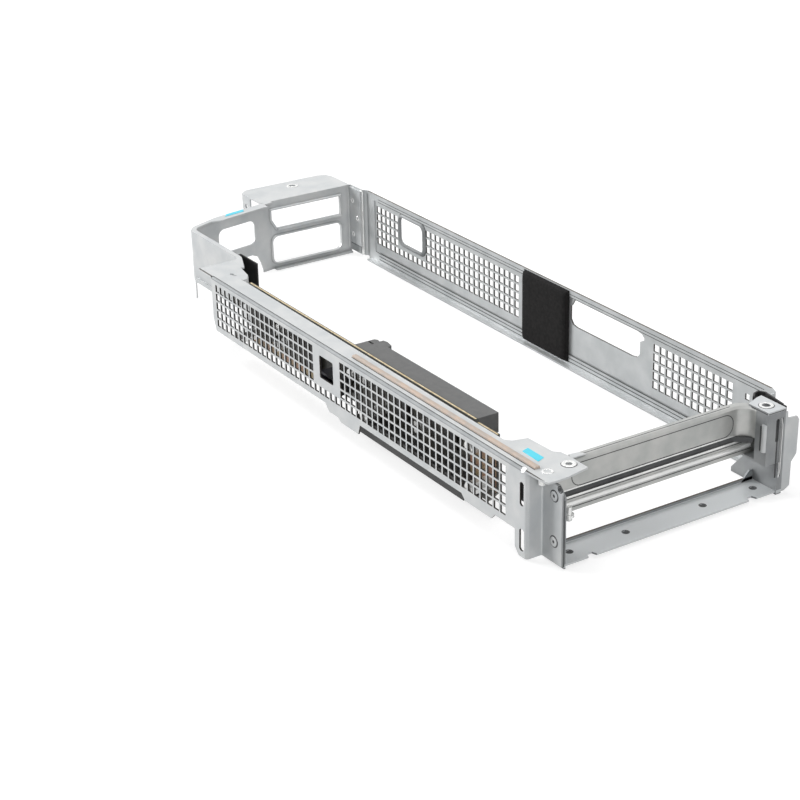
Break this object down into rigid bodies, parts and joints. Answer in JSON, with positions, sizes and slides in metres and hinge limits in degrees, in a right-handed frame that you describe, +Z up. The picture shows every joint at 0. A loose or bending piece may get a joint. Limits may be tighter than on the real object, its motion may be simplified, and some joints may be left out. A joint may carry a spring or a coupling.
{
  "type": "pcie adapter card",
  "caption": "Riser cage for expansion cards: perforated folded sheet-metal frame around an upright riser board with edge connectors, window bracket and open card mouth.",
  "frame": {"origin": "centre of the base: midway along the length and width, on the plane the cage stands on", "axes": "+X along the length towards the card mouth, +Y from the riser side panel to the far side panel, +Z up"},
  "size_m": [0.3749, 0.1299, 0.039],
  "materials": {
    "galvanised_steel": "satin zinc-coated sheet",
    "bright_steel": "bright plated",
    "board": "solder-mask laminate",
    "dark_plastic": "moulded, fine texture",
    "black_plastic": "moulded, matt",
    "red_plastic": "moulded",
    "white_plastic": "moulded",
    "gold": "plated",
    "tan_ceramic": "fired body",
    "black_foam": "closed-cell foam",
    "tan_gasket": "soft foam strip",
    "cyan_film": "plain adhesive film"
  },
  "bodies": {
    "root": {"riser_side_panel": "galvanised_steel", "rear_bracket": "galvanised_steel", "far_side_panel": "galvanised_steel", "front_frame": "galvanised_steel", "front_crossbar": "galvanised_steel", "outer_flange": "galvanised_steel", "contact_spring": "bright_steel", "post_trim": "black_foam", "riser_board": "board", "slot_connector_upper": "dark_plastic", "slot_connector_lower": "dark_plastic", "slot_latch": "dark_plastic", "slot_contacts": "gold", "host_connector": "black_plastic", "power_header": "red_plastic", "board_chips": "black_plastic", "board_capacitors": "bright_steel", "board_resistors": "tan_ceramic", "board_standoffs": "bright_steel", "board_screws": "bright_steel", "foam_pad": "black_foam", "gasket_strip": "tan_gasket", "insulator_sheet": "black_plastic", "front_label": "cyan_film", "rear_label": "cyan_film", "front_rivets": "bright_steel", "rear_rivets": "bright_steel", "locating_peg": "white_plastic", "boss_insert": "bright_steel", "card_stud": "bright_steel"}
  },
  "joints": []
}
